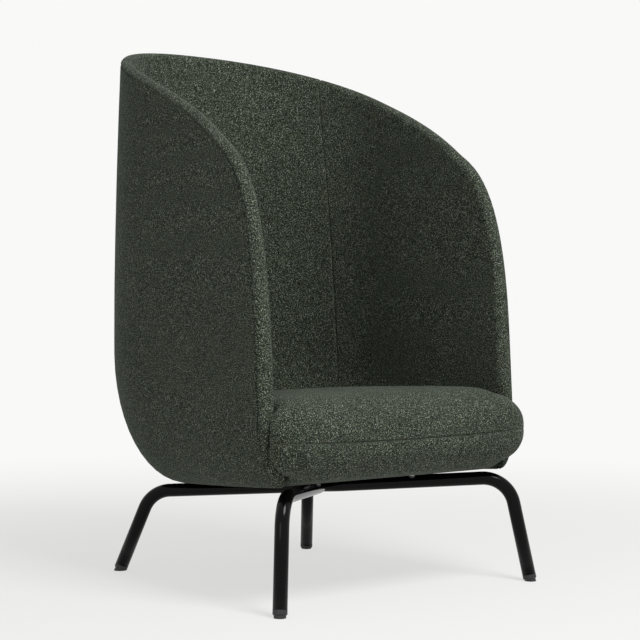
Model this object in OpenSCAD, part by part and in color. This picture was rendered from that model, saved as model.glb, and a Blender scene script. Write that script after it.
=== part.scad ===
// Lounge chair with a high wraparound acoustic shell on a low bent tube frame.
// Millimetres. +Z up, +Y to the back, +X to the right as seen from the front.
// The origin is on the floor, under the middle of the chair.

/* [Shell] */
// Outside width of the shell
shell_w = 724; // [660:1:780]
// Depth of the shell from the foot of its front edge to its back
shell_d = 780; // [720:1:840]
// Height of the rim at the middle of the back
overall_h = 1222; // [1120:1:1300]
// Depth of the curved rear part of the plan
rear_curve_d = 360; // [330:1:390]
// Squareness of the rear curve, where 2 is an ellipse
rear_power = 2.3; // [2.1:0.05:2.6]
// Lean of the back towards the sitter at the rim
back_lean = 16; // [0:1:30]
// Height where that lean starts
lean_start_h = 600; // [500:10:800]
// Height of the underside at the middle of the frame
underside_h = 228.5; // [200:0.5:260]
// Slope of the underside and the seat down to the back, degrees
seat_tilt = 4.35; // [0:0.05:6]

/* [Rim] */
// Height of the shoulder, where the front edge turns into the sloping rim
shoulder_h = 955; // [880:1:1000]
// Distance of the shoulder behind the foot of the front edge
shoulder_set = 158; // [120:1:200]
// Slope of the rim at the shoulder, degrees
shoulder_angle = 32.5; // [25:0.5:45]
// Lean of the front edge to the back, degrees
front_edge_lean = 6.3; // [3:0.1:9]
// Length of straight pull in the front edge above its foot
front_edge_pull = 290; // [200:5:340]
// Length of pull in the rim below the shoulder
shoulder_pull_low = 180; // [120:5:220]
// Length of pull in the rim above the shoulder
shoulder_pull_high = 75; // [50:5:120]
// Length of pull in the rim at the back
back_pull = 510; // [420:5:540]
// Slope of the rim at the back, degrees
back_rim_angle = 16.7; // [8:0.1:20]
// Radius of the rolled edge
rim_r = 15; // [10:0.5:17]

/* [Shell wall] */
// Thickness of the wall at arm height
wall_t = 40; // [38:0.5:48]
// Thickness of the wall at the highest point of the rim
wall_top_t = 26; // [25:0.5:34]
// Height where the wall starts to get thinner
taper_start_h = 560; // [450:10:700]
// Thickness of the fabric with its backing
cover_t = 3; // [2:0.1:4]
// Thickness of the outer foam
outer_foam_t = 5; // [4:0.5:6]
// Thickness of the moulded core
core_t = 10; // [7:0.5:10]
// Clearance between layers
layer_gap = 0.3; // [0.2:0.05:0.5]
// Width of the bottom rounding at the front of the sides
front_round_w = 50; // [46:1:70]
// Height of the bottom rounding at the front of the sides
front_round_h = 140; // [110:1:170]
// Width of the bottom rounding at the back
back_round_w = 185; // [150:1:200]
// Height of the bottom rounding at the back
back_round_h = 325; // [280:1:350]
// Width of the flat flange under the rounding
flange_w = 25; // [20:1:30]

/* [Seat cushion] */
// Reach of the cushion in front of the shell's front edge
cushion_overhang = 58; // [50:1:70]
// How far each end of the cushion's front roll stays inside the shell's outside width
roll_end_set = 5; // [2:0.5:12]
// Height of the cushion's flat top above the underside plane
cushion_top = 188; // [170:1:200]
// Height of the seam above the underside plane
seam_level = 93; // [85:1:100]
// Extra height at the middle of the seat
crown_h = 12; // [4:1:20]
// Radius of the top of the front roll, front to back
roll_top_d = 118; // [100:1:125]
// Radius of the bottom of the front roll, front to back
roll_low_d = 93; // [80:1:95]
// Rounding of the roll's ends above the seam
end_top_w = 118; // [100:1:130]
// Rounding of the roll's ends below the seam
end_low_w = 108; // [95:1:120]
// Rounding of the roll's ends seen from above, across
end_corner_w = 95; // [80:1:110]
// Rounding of the roll's ends seen from above, front to back
end_corner_d = 70; // [66:1:80]
// Radius of the top edge along the shell
seat_edge_r = 12; // [6:1:16]
// Depth of the groove along the seam
seam_dip = 2; // [1:0.5:3]
// Clearance between the cushion and the shell's lining
cushion_gap = 4; // [3.5:0.5:6]
// Clearance between the cushion and the shell's front edge
edge_gap = 0.5; // [0.3:0.1:1]

/* [Frame] */
// Diameter of the steel tube
tube_d = 30; // [28:1:32]
// Wall of the steel tube
tube_wall = 2; // [1.5:0.1:3]
// Bend radius where an arm turns down into a leg
leg_bend_r = 70; // [60:1:80]
// Bend radius at the middle of the frame
centre_bend_r = 70; // [60:1:90]
// Half the distance between the front feet
front_foot_x = 357; // [340:1:370]
// Half the distance between the rear feet
rear_foot_x = 278.5; // [260:0.5:300]
// Distance between front and rear feet
foot_pitch = 698.6; // [660:0.2:730]
// Distance of the front feet behind the front of the cushion
front_foot_set = 16.7; // [5:0.1:30]
// Half the distance between the front knees
front_knee_x = 322; // [300:1:330]
// Half the distance between the rear knees
rear_knee_x = 232; // [215:1:245]
// Distance of the front knee behind the front foot
front_knee_set = 37.7; // [20:0.1:50]
// Distance of the rear knee in front of the rear foot
rear_knee_set = 61; // [45:1:75]
// Distance of the frame's middle behind the front feet
frame_middle_set = 320; // [300:1:340]
// Clearance between the tube and the underside plane
frame_gap = 2.7; // [2.2:0.1:4]
// Height of the glide along the leg
glide_h = 16; // [13:0.5:22]

/* [Fixings] */
// Width of a mounting plate across its tube
plate_w = 54; // [52:1:56]
// Reach of a mounting plate past the middle of its tube, away from the bolt
plate_over = 12; // [6:1:14]
// Length of a mounting plate along its tube
plate_l = 60; // [45:1:70]
// Distance of the bolt from the tube's middle
bolt_set = 28; // [27:0.5:30]
// Diameter of the frame bolts
bolt_d = 8; // [6:1:8]
// Thickness of the seat board
board_t = 15; // [14.5:0.1:15.5]
// Number of clamp plates on each side
clamps = 3; // [2:1:4]

/* [Hidden] */
$fn = 48;

fabric = [0.21, 0.29, 0.25];
fabric_dark = [0.18, 0.25, 0.22];
foam = [0.84, 0.80, 0.66];
plywood = [0.80, 0.66, 0.45];
black_gloss = [0.05, 0.05, 0.05];
black_cloth = [0.10, 0.10, 0.11];
plastic = [0.22, 0.22, 0.23];
zinc = [0.72, 0.73, 0.75];

// Places along the depth, worked out from the overall sizes
back_y = (shell_d + cushion_overhang) / 2;
front_y = back_y - shell_d;
curve_y = back_y - rear_curve_d;
cushion_front_y = front_y - cushion_overhang;
half_w = shell_w / 2;
cushion_w = shell_w - 2 * roll_end_set;
front_foot_y = cushion_front_y + front_foot_set;
rear_foot_y = front_foot_y + foot_pitch;
middle_y = front_foot_y + frame_middle_set;
slope = tan(seat_tilt);
function under_z(y) = underside_h - slope * (y - middle_y);

// Plan of the shell. The angle a is 0 at the middle of the back and 90 where the side turns straight.
side_step = rear_curve_d / 90;
plan_power = 2 / rear_power;
function plan_x(a) = a < 90 ? half_w * pow(sin(a), plan_power) : half_w;
function plan_y(a) = a < 90 ? curve_y + rear_curve_d * pow(cos(a), plan_power)
  : curve_y - (a - 90) * side_step;
function plan_out(a) = a < 90 ? unit([plan_x(a), plan_y(a) - curve_y]) : [1, 0];
function plan_angle(y) = y < curve_y ? 90 + (curve_y - y) / side_step
  : acos(pow(min((y - curve_y) / rear_curve_d, 1), rear_power / 2));
function unit(v) = v / norm(v);
function limit(x, low, high) = min(max(x, low), high);
function mix(p, q, t) = p + (q - p) * t;

// Profile of the wall. The run s goes along the flange, round the bottom and up the wall.
function back_share(a) = let (f = limit((plan_y(a) - front_y) / shell_d, 0, 1)) f * f * (3 - 2 * f);
function round_w(a) = mix(front_round_w, back_round_w, back_share(a));
function round_h(a) = mix(front_round_h, back_round_h, back_share(a));
function round_run(a) = (round_w(a) + round_h(a)) * PI / 4;
function wall_at(z) = mix(wall_t, wall_top_t, limit((z - taper_start_h) / (overall_h - taper_start_h), 0, 1));
function run_at(a, h) = h > round_h(a) ? flange_w + round_run(a) + h - round_h(a)
  : flange_w + round_run(a) * acos(1 - max(h, 0) / round_h(a)) / 90;
lean_power = 1.6;

// A point of the wall at depth w from the outer face, or from the inner face when inner is 1
function wall_point(a, s, w, inner) =
  let (turn = limit((s - flange_w) / round_run(a), 0, 1) * 90,
    rise = max(s - flange_w - round_run(a), 0),
    y = plan_y(a),
    depth = w + inner * wall_at(under_z(y) + round_h(a) + rise),
    z = under_z(y) + round_h(a) - (round_h(a) - depth) * cos(turn) + rise,
    up_share = max((z - lean_start_h) / (overall_h - lean_start_h), 0),
    inset = round_w(a) - (round_w(a) - depth) * sin(turn) + max(flange_w - s, 0)
      + back_lean * pow(up_share, lean_power),
    out = plan_out(a))
  [plan_x(a) - out.x * inset, y - out.y * inset, z + slope * out.y * inset * (1 - sin(turn))];

// Rim seen from the side, as two curves that meet at the shoulder
shoulder = [front_y + shoulder_set, shoulder_h];
shoulder_dir = [cos(shoulder_angle), sin(shoulder_angle)];
edge_foot = [front_y, under_z(front_y)];
rim_back = [back_y, overall_h];
rim_front_curve = [edge_foot, edge_foot + [tan(front_edge_lean), 1] * front_edge_pull,
  shoulder - shoulder_dir * shoulder_pull_low, shoulder];
rim_back_curve = [shoulder, shoulder + shoulder_dir * shoulder_pull_high,
  rim_back - [1, tan(back_rim_angle)] * back_pull, rim_back];
function cubic(p, t) = pow(1 - t, 3) * p[0] + 3 * pow(1 - t, 2) * t * p[1]
  + 3 * (1 - t) * t * t * p[2] + pow(t, 3) * p[3];
function cubic_dir(p, t) = unit(pow(1 - t, 2) * (p[1] - p[0]) + 2 * (1 - t) * t * (p[2] - p[1])
  + t * t * (p[3] - p[2]));
function rim_at(t) = t < 0.5 ? cubic(rim_front_curve, 2 * t) : cubic(rim_back_curve, 2 * t - 1);
function rim_dir(t) = t < 0.5 ? cubic_dir(rim_front_curve, 2 * t) : cubic_dir(rim_back_curve, 2 * t - 1);

// Stations run from 0 at the middle of the back to the last one at the foot of the front edge
stations = 24;
foot_crowding = 0.97;
fan_power = 1.3;
angle_probe = 0.5;
rim_zone = 70;
nose_d = 8;
foot_angle = plan_angle(front_y + rim_zone);
function station_share(k) = let (x = k / stations) x + foot_crowding * x * x * (1 - x);
// [angle, height, rim direction along the wall, rim direction upwards, length for each degree]
function rim_line(k) =
  let (t = 1 - pow(station_share(k), rear_power),
    p = rim_at(t),
    d = rim_dir(t),
    a = plan_angle(p[0]),
    step = norm([plan_x(a + angle_probe) - plan_x(a), plan_y(a + angle_probe) - plan_y(a)]),
    fall = k == 0 ? 0 : abs(plan_y(a + angle_probe) - plan_y(a)),
    dir = unit([d[0] * step, d[1] * fall]))
  [a, p[1], dir[0], dir[1], step / angle_probe];
// [angle, run] of a place e inside the rim
function rim_place(line, e) =
  let (a = line[0] - e * line[3] / line[4], z = line[1] - e * line[2])
  [a, run_at(a, z - under_z(plan_y(a)))];
function rim_point(line, e, w, inner) =
  let (place = rim_place(line, e)) wall_point(place[0], place[1], w, inner);

round_steps = 4;
wall_steps = 3;
fan_rows = 1 + round_steps + wall_steps;
tall_share = 0.8;
// [angle, run] of row j on station k, from the flange to the zone under the rim
function fan_place(k, line, j) =
  let (top = rim_place(line, rim_zone),
    foot = foot_angle * pow(station_share(k), fan_power),
    turn_end = flange_w + round_run(top[0]),
    squeeze = min(1, tall_share * top[1] / turn_end),
    low_end = turn_end * squeeze,
    s = j == 0 ? 0
      : j <= 1 + round_steps ? squeeze * (flange_w + round_run(top[0]) * (j - 1) / round_steps)
      : mix(low_end, top[1], (j - 1 - round_steps) / wall_steps))
  [mix(foot, top[0], s / top[1]), s];
function roll_r(line) = min(rim_r, (wall_at(line[1]) - layer_gap) / 2);

// Rows of one layer on one station: the fan, the place under the nose and the start of the roll
function fan_points(k, line, first, w, inner) = [for (j = [first:fan_rows])
  let (place = fan_place(k, line, j)) wall_point(place[0], place[1], w, inner)];
function roll_points(line, cut) =
  let (r = roll_r(line), rho = r - cut)
  concat([for (turn = [45, 90]) rim_point(line, r - rho * sin(turn), rho * cos(turn) - r, 1)],
    [for (turn = [90, 45, 0]) rim_point(line, r - rho * sin(turn), r - rho * cos(turn), 0)]);

core_outer = cover_t + outer_foam_t + 2 * layer_gap;
core_inner = core_outer + core_t;
foam_face = core_inner + layer_gap;
lining_back = cover_t + layer_gap;

function cover_line(k, w) = let (line = rim_line(k), r = roll_r(line))
  concat(fan_points(k, line, 0, w, 0),
    [rim_point(line, r + nose_d, w, 0), rim_point(line, r + layer_gap, w, 0)]);
function core_line(k, first, w) = let (line = rim_line(k))
  concat(fan_points(k, line, first, w, 0), [rim_point(line, roll_r(line) + nose_d, w, 0)]);
function lining_line(k, w) = let (line = rim_line(k), r = roll_r(line))
  concat(fan_points(k, line, 1, -w, 1),
    [rim_point(line, r + nose_d, -w, 1), rim_point(line, r, -w, 1)],
    roll_points(line, w));
function nose_line(k) = let (line = rim_line(k))
  concat(lining_line(k, lining_back),
    [rim_point(line, roll_r(line) + nose_d - layer_gap, lining_back, 0)]);
nose_back_rows = 7;
function nose_back_line(k) = let (line = rim_line(k), e = roll_r(line) + nose_d - layer_gap)
  concat(fan_points(k, line, 1, foam_face, 0),
    [for (q = [0:nose_back_rows])
      rim_point(line, e, mix(foam_face, lining_back, q / (nose_back_rows + 1)), 0)]);

// Puts a row of points on one side of the chair, clear of the middle when a seam runs there
function on_side(points, side, clear) = [for (p = points) [side * max(p.x, clear), p.y, p.z]];
seam_gap = 0.4;
seam_half_step = seam_gap * stations / shell_d / 2;
// Share of the stations from the middle of the back to the seams beside the back panel
seam_share = 0.29;
seam_station = round(stations * seam_share);

// Half of the four-sided patch p, q, r, s. The left side of the chair is cut the other way, as a mirror image.
function patch_half(p, q, r, s, half, mirrored, turned) =
  let (tri = mirrored ? (half == 0 ? [p, q, s] : [q, r, s]) : (half == 0 ? [p, q, r] : [p, r, s]))
  turned ? tri : [tri[2], tri[1], tri[0]];
function grid_faces(rows, cols, start, turned, left_rows) =
  [for (i = [0:rows - 2], j = [0:cols - 2], half = [0, 1]) let (p = start + i * cols + j)
    patch_half(p, p + cols, p + cols + 1, p + 1, half, i < left_rows, turned)];
function edge_faces(chain, shift, turned) = [for (i = [0:len(chain) - 2], half = [0, 1])
  let (p = chain[i], q = chain[i + 1],
    tri = half == 0 ? [p, q, q + shift] : [p, q + shift, p + shift])
  turned ? tri : [tri[2], tri[1], tri[0]]];

// A closed solid between two grids of points that face each other
module thick_sheet(front, back, left_rows) {
  rows = len(front);
  cols = len(front[0]);
  count = rows * cols;
  first_row = [for (j = [0:cols - 1]) j];
  last_row = [for (j = [0:cols - 1]) (rows - 1) * cols + j];
  first_col = [for (i = [0:rows - 1]) i * cols];
  last_col = [for (i = [0:rows - 1]) i * cols + cols - 1];
  polyhedron(points = [for (row = front, p = row) p, for (row = back, p = row) p],
    faces = concat(grid_faces(rows, cols, 0, false, left_rows), grid_faces(rows, cols, count, true, left_rows),
      edge_faces(first_row, count, false), edge_faces(last_row, count, true),
      edge_faces(first_col, count, true), edge_faces(last_col, count, false)));
}

both_sides = [for (k = [-stations:stations]) k];
function side_of(k) = k < 0 ? -1 : 1;
half_seam = seam_gap / 2;

module shell_core() {
  color(plywood) thick_sheet(
    [for (k = both_sides) on_side(core_line(abs(k), 0, core_inner), side_of(k), 0)],
    [for (k = both_sides) on_side(core_line(abs(k), 0, core_outer), side_of(k), 0)], stations);
}

module outer_foam() {
  color(foam) thick_sheet(
    [for (k = both_sides) on_side(core_line(abs(k), 1, core_outer - layer_gap), side_of(k), 0)],
    [for (k = both_sides) on_side(core_line(abs(k), 1, cover_t + layer_gap), side_of(k), 0)], stations);
}

module inner_foam() {
  color(foam) thick_sheet(
    [for (k = both_sides) on_side(nose_line(abs(k)), side_of(k), 0)],
    [for (k = both_sides) on_side(nose_back_line(abs(k)), side_of(k), 0)], stations);
}

module outer_cover(side) {
  line = side < 0 ? [for (k = [-stations:0]) k] : [for (k = [0:stations]) k];
  color(fabric) thick_sheet(
    [for (k = line) on_side(cover_line(abs(k), cover_t), side, half_seam)],
    [for (k = line) on_side(cover_line(abs(k), 0), side, half_seam)], side < 0 ? stations : 0);
}

module inner_lining(line) {
  color(fabric_dark) thick_sheet(
    [for (k = line) on_side(lining_line(abs(k), 0), side_of(k), 0)],
    [for (k = line) on_side(lining_line(abs(k), cover_t), side_of(k), 0)],
    len([for (k = line) if (k < 0) k]));
}
side_line = concat([seam_station + seam_half_step], [for (k = [seam_station + 1:stations]) k]);
back_line = concat([seam_half_step - seam_station], [for (k = [1 - seam_station:seam_station - 1]) k],
  [seam_station - seam_half_step]);

module outer_cover_left() { outer_cover(-1); }
module outer_cover_right() { outer_cover(1); }
module inner_lining_left() {
  inner_lining([for (q = [len(side_line) - 1:-1:0]) -side_line[q]]);
}
module inner_lining_back() { inner_lining(back_line); }
module inner_lining_right() { inner_lining(side_line); }

// Seat cushion, as loops round it from the bottom of the front roll to its crown.
// A depth d inside its surface gives the inside of its cover and the foam.
corner_power = 2.3;
cushion_floor = wall_t + layer_gap + half_seam;
step_y = front_y + rim_zone - edge_gap;
neck_x = half_w - front_round_w - cushion_gap - flange_w / 4;
front_shares = [0, 0.36, 0.7, 1];
corner_shares = [0.25, 0.5, 0.75, 1];
side_shares = [0.33, 0.67, 1];
back_angles = [75, 60, 45, 30, 15, 0];
last_col = 17;
arm_least = 6;
// Front edge of the lining at a height above the underside, where the rounding lifts it above the outer face
edge_steps = 24;
edge_line = [for (q = [0:edge_steps]) let (p = cubic(rim_front_curve, q / edge_steps / 2), h = p.y - edge_foot.y)
  [h + wall_t * max(1 - h / front_round_h, 0), p.x - edge_gap]];
function edge_y(w) = lookup(w, edge_line);
seam_land_share = 0.1;
function fullness(s) = sqrt(1 - pow(max(abs(s) - seam_land_share, 0) / (1 - seam_land_share), 2));
function bowl_inset(a, w) = w >= round_h(a) ? wall_t
  : w <= cushion_floor ? round_w(a)
  : round_w(a) - (round_w(a) - wall_t)
    * sin(acos(limit((round_h(a) - w) / (round_h(a) - wall_t), 0, 1)));
function bowl_point(a, w, d) = let (out = plan_out(a), inset = bowl_inset(a, w) + cushion_gap + d)
  [plan_x(a) - out.x * inset, plan_y(a) - out.y * inset];
function corner(from, to, turn) = [mix(from.x, to.x, pow(sin(turn), 2 / corner_power)),
  mix(to.y, from.y, pow(cos(turn), 2 / corner_power))];

// The front roll: how far forward, how wide and how high it is at share s of its top or bottom
function roll_y(s) = cushion_front_y + (s > 0 ? roll_top_d : roll_low_d) * (1 - fullness(s));
function roll_x(s) = cushion_w / 2 - (s > 0 ? end_top_w : end_low_w) * (1 - fullness(s));
function roll_w(s, d) = seam_level + s * ((s > 0 ? cushion_top - seam_level : seam_level) - d);
// Angle of the end rounding where it reaches the shell's front edge
function corner_stop(y0, notch_y) =
  acos(pow(limit((y0 + end_corner_d - notch_y) / end_corner_d, 0, 1), corner_power / 2));
function roll_tip(x1, y0, stop) = corner([x1 - end_corner_w, y0], [x1, y0 + end_corner_d], stop);
// Side of the cushion behind the roll
function side_x(w, necked, y, d) = necked ? neck_x - d : bowl_point(plan_angle(y), w, d).x;
// Whether the roll's end reaches out in front of the shell's edge at this height
function has_arm(s, w, necked) = let (y0 = roll_y(s), notch_y = edge_y(roll_w(s, 0)))
  roll_tip(roll_x(s), y0, corner_stop(y0, notch_y)).x > side_x(w, necked, notch_y, 0) + arm_least
  && y0 < notch_y - arm_least;

// Right half of a loop. s places the front roll and w the part inside the shell, which lift then raises.
// Necked loops stop at the step in front of the shell's floor.
blend_share = 0.3;
neck_steps = 8;
corner_end = 72;
function half_loop(s, w, necked, d, lift = 0) =
  let (dip = s == 0 ? seam_dip : 0,
    front_w = s == 0 ? w : roll_w(s, d),
    y0 = roll_y(s) + d + dip,
    x1 = roll_x(s) - d - dip,
    notch_y = edge_y(front_w) - d,
    edge = s > 0 ? d + seat_edge_r * (1 - fullness(s)) : d,
    armed = has_arm(s, w, necked),
    blend_y = max(necked ? mix(y0, step_y - d, blend_share) : y0 + end_corner_d, notch_y),
    side_y = armed ? notch_y : blend_y,
    inner_x = side_x(w, necked, side_y, edge),
    x0 = armed ? x1 - end_corner_w : min(x1 - end_corner_w, inner_x - end_corner_w / 2),
    stop = corner_stop(y0, notch_y))
  concat(
    [for (q = front_shares) [q * x0, y0, front_w]],
    [for (q = corner_shares)
      let (p = armed ? roll_tip(x1, y0, q * stop) : corner([x0, y0], [inner_x, blend_y], q * corner_end))
      [p.x, p.y, front_w]],
    [[inner_x, side_y, necked ? front_w : w + lift]],
    necked ? [for (q = [0:neck_steps]) [inner_x * (1 - q / neck_steps), step_y - d, w + lift]]
      : concat([for (q = side_shares) let (y = mix(side_y, curve_y, q),
            p = bowl_point(plan_angle(y), w, edge)) [p.x, y, w + lift]],
          [for (a = back_angles) let (p = bowl_point(a, w, edge)) [p.x, p.y, w + lift]]));

function lifted(points) = [for (p = points) [p.x, p.y, p.z + under_z(p.y)]];
function full_loop(half) = concat(half,
  [for (q = [last_col - 1:-1:1]) [-half[q].x, half[q].y, half[q].z]]);
top_shares = [0, 0.12, 0.34, 0.54, 0.66, 0.8, 0.9, 0.97, 1];
foam_top_shares = [0, 0.66, 0.8, 0.9, 1];
function top_loop(s, d, gap) = let (w = seam_level + s * (cushion_top - seam_level - d) + (s == 0 ? gap : 0))
  half_loop(s, w, false, d);
spine_share = 0.28;
spine_front_y = mix(front_y, back_y, spine_share);
spine_back_y = mix(back_y, front_y, spine_share);
crown_shares = [0.3, 0.62, 0.9];
function crown_loop(t, d) = let (edge = top_loop(1, d, 0))
  [for (q = [0:last_col]) [edge[q].x * (1 - t), mix(edge[q].y, mix(spine_front_y, spine_back_y, q / last_col), t),
    edge[q].z + crown_h * t * (2 - t)]];
function top_loops(shares, d, gap) = concat(
  [for (s = shares) full_loop(lifted(top_loop(s, d, gap)))],
  [for (t = crown_shares) full_loop(lifted(crown_loop(t, d)))]);
// Loops below the seam, as shares of its height: inside the shell, then in front of the step
low_shares = [0, 0.1, 0.3];
floor_shares = [0.5, 0.62];
step_shares = [0.78, 0.9, 1];
function low_loop(share, w, necked, d, lift) = full_loop(lifted(half_loop(-share, w, necked, d, lift)));
function low_loops(d, gap) = concat(
  [for (q = low_shares) low_loop(q, (1 - q) * seam_level - (q == 0 ? gap : 0), false, d, 0)],
  [low_loop(floor_shares[0], cushion_floor, false, d, d), low_loop(floor_shares[1], cushion_floor, true, d, d)],
  [for (q = step_shares) low_loop(q, (1 - q) * seam_level, true, d, d)]);

around = 2 * last_col;
// The first loops can be listed upwards, so their patches are cut the other way
function ring_faces(loops, start, turned, upward = 0) =
  [for (i = [0:loops - 2], j = [0:around - 1], half = [0, 1])
    let (p = start + i * around + j, q = start + i * around + (j + 1) % around)
    patch_half(p, q, q + around, p + around, half, (j < last_col) == (i < upward), turned)];
// Closes a crown across the middle line
function crown_faces(start, turned) = [for (j = [0:last_col - 1], half = [0, 1])
  let (tri = half == 0 ? [start + j, start + j + 1, start + (around - j) % around]
      : [start + j + 1, start + around - j - 1, start + (around - j) % around])
  if (!(half == 0 && j == 0) && !(half == 1 && j == last_col - 1) || (half == 1 && j == 0))
    turned ? tri : [tri[2], tri[1], tri[0]]];
// Closes the flat bottom of the roll from its front to its back
function sole_faces(start, turned) = [for (side = [0, 1], j = [0:(last_col - 1) / 2 - 1], half = [0, 1])
  let (quad = [j, j + 1, last_col - j - 1, last_col - j],
    raw = half == 0 ? [quad[0], quad[1], quad[2]] : [quad[0], quad[2], quad[3]],
    mir = [for (v = raw) (around - v) % around],
    tri = side == 0 ? [for (v = raw) start + v] : [for (v = [mir[2], mir[1], mir[0]]) start + v])
  turned ? tri : [tri[2], tri[1], tri[0]]];

module cover_skin(outer, inner, crowned) {
  loops = len(outer);
  count = loops * around;
  end = (loops - 1) * around;
  seam = [for (j = [0:around]) j % around];
  cap_out = crowned ? crown_faces(end, false) : sole_faces(end, true);
  cap_in = crowned ? crown_faces(count + end, true) : sole_faces(count + end, false);
  polyhedron(points = [for (row = outer, p = row) p, for (row = inner, p = row) p],
    faces = concat(ring_faces(loops, 0, !crowned), ring_faces(loops, count, crowned),
      cap_out, cap_in, edge_faces(seam, count, crowned)));
}

module cushion_cover_top() {
  color(fabric) cover_skin(top_loops(top_shares, 0, half_seam),
    top_loops(top_shares, cover_t, half_seam), true);
}

module cushion_cover_low() {
  color(fabric) cover_skin(low_loops(0, half_seam), low_loops(cover_t, half_seam), false);
}

module cushion_foam() {
  d = cover_t + layer_gap;
  low = low_loops(d, 0);
  top = top_loops(foam_top_shares, d, 0);
  loops = concat([for (q = [len(low) - 1:-1:1]) low[q]], top);
  color(foam) polyhedron(points = [for (row = loops, p = row) p],
    faces = concat(ring_faces(len(loops), 0, false, len(low) - 1), sole_faces(0, true),
      crown_faces((len(loops) - 1) * around, false)));
}

// The plane of the seat board: x across, y down the slope to the back, z square to the underside
module on_underside() {
  translate([0, middle_y, underside_h]) rotate([-seat_tilt, 0, 0]) children();
}
function down_slope(y) = (y - middle_y) / cos(seat_tilt);
// Outline of the opening inside the flange, drawn in by a clearance
function ring_half(inset) = [for (k = [0:stations])
  let (a = foot_angle * pow(station_share(k), fan_power), out = plan_out(a), cut = round_w(a) + inset)
  [plan_x(a) - out.x * cut, down_slope(plan_y(a) - out.y * cut)]];
module ring_shape(inset, front_inset) {
  half = ring_half(inset);
  front = down_slope(front_y + rim_zone + front_inset);
  kept = [for (p = half) if (p.y > front) p];
  last = kept[len(kept) - 1];
  right = concat(kept, [[last.x, front]]);
  polygon(concat(right, [for (q = [len(right) - 1:-1:1]) [-right[q].x, right[q].y]]));
}

board_low = core_inner - board_t;
board_gap = 2;
lip_gap = 1;
lip_front_gap = 50;
lip_top = core_outer - layer_gap;
hair = 0.1;

// Places of the four bolts: side, front or rear, and the arm's direction
weld_gap = 0.3;
tube_r = tube_d / 2;
tube_in = tube_r - tube_wall;
arm_level = -frame_gap - tube_r;
bend_x = centre_bend_r + tube_r + weld_gap / 2;
front_knee = [front_knee_x, down_slope(front_foot_y + front_knee_set)];
rear_knee = [rear_knee_x, down_slope(rear_foot_y - rear_knee_set)];
// Point where a straight arm from a knee meets the middle bend, passing it on the side of the middle line
function touch(knee, hand) =
  let (v = [bend_x, 0] - knee, dist = norm(v), swing = asin(centre_bend_r / dist) * hand,
    along = unit([v.x * cos(swing) - v.y * sin(swing), v.x * sin(swing) + v.y * cos(swing)]))
  knee + along * sqrt(dist * dist - centre_bend_r * centre_bend_r);
front_touch = touch(front_knee, 1);
rear_touch = touch(rear_knee, -1);
bend_mid = (front_touch + rear_touch) / 2 - [bend_x, 0];
apex = [bend_x, 0] + bend_mid * pow(centre_bend_r / norm(bend_mid), 2);
front_plate_share = 0.4;
rear_plate_share = 0.42;
function plate_place(rear) = rear ? mix(rear_touch, rear_knee, rear_plate_share)
  : mix(front_touch, front_knee, front_plate_share);
function arm_dir(rear) = rear ? unit(rear_knee - rear_touch) : unit(front_knee - front_touch);
// Across the arm, towards the middle line
function arm_side(rear) = let (d = arm_dir(rear)) rear ? [-d.y, d.x] : [d.y, -d.x];
function bolt_place(rear) = plate_place(rear) + arm_side(rear) * bolt_set;

module at_bolts() {
  for (side = [-1, 1], rear = [false, true]) let (p = bolt_place(rear))
    on_underside() translate([side * p.x, p.y, 0]) children();
}

plate_t = frame_gap + board_low - 2 * hair;
plate_low = -frame_gap + hair;
plate_corner_r = 6;
bolt_hole_gap = 0.5;
module plate_outline(grow) {
  translate([-plate_l / 2 - grow, -plate_over - grow])
    square([plate_l + 2 * grow, plate_w + 2 * grow]);
}
module at_plate(side, rear) {
  p = plate_place(rear);
  d = arm_side(rear);
  on_underside() mirror([side < 0 ? 1 : 0, 0, 0]) translate([p.x, p.y, 0])
    rotate([0, 0, atan2(d.y, d.x) - 90]) children();
}
module mounting_plate(side, rear) {
  color(black_gloss) at_plate(side, rear) translate([0, 0, plate_low]) difference() {
    linear_extrude(plate_t) plate_outline(0);
    translate([0, bolt_set, -plate_t]) cylinder(h = 3 * plate_t, r = bolt_d / 2 + bolt_hole_gap);
  }
}
module mounting_plate_front_left() { mounting_plate(-1, false); }
module mounting_plate_front_right() { mounting_plate(1, false); }
module mounting_plate_rear_left() { mounting_plate(-1, true); }
module mounting_plate_rear_right() { mounting_plate(1, true); }

// A straight run of the tube. Its ends reach a little way into the bends, drawn in by a hair.
bend_reach = 1.5;
run_inset = 0.03;
module tube_run(from, to, first, last) {
  v = to - from;
  long = norm(v) + (first ? 0 : bend_reach) + (last ? 0 : bend_reach);
  x = unit(cross(v, abs(unit(v).z) < 0.9 ? [0, 0, 1] : [1, 0, 0]));
  place(from, x, cross(unit(v), x), unit(v)) translate([0, 0, first ? 0 : -bend_reach]) difference() {
    cylinder(h = long, r = tube_r - run_inset);
    translate([0, 0, -tube_d]) cylinder(h = long + 2 * tube_d, r = tube_in + run_inset);
  }
}
module place(p, x, y, z) {
  multmatrix([[x.x, y.x, z.x, p.x], [x.y, y.y, z.y, p.y], [x.z, y.z, z.z, p.z], [0, 0, 0, 1]]) children();
}
module tube_bend(corner, to_last, to_next, r) {
  turn = 180 - acos(to_last * to_next);
  middle = corner + unit(to_last + to_next) * r / cos(turn / 2);
  start = corner + to_last * r * tan(turn / 2);
  x = unit(start - middle);
  y = -to_last;
  place(middle, x, y, cross(x, y)) rotate_extrude(angle = turn) translate([r, 0]) difference() {
    circle(r = tube_r);
    circle(r = tube_in);
  }
}
function bend_cut(to_last, to_next, r) = r * tan((180 - acos(to_last * to_next)) / 2);

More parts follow.
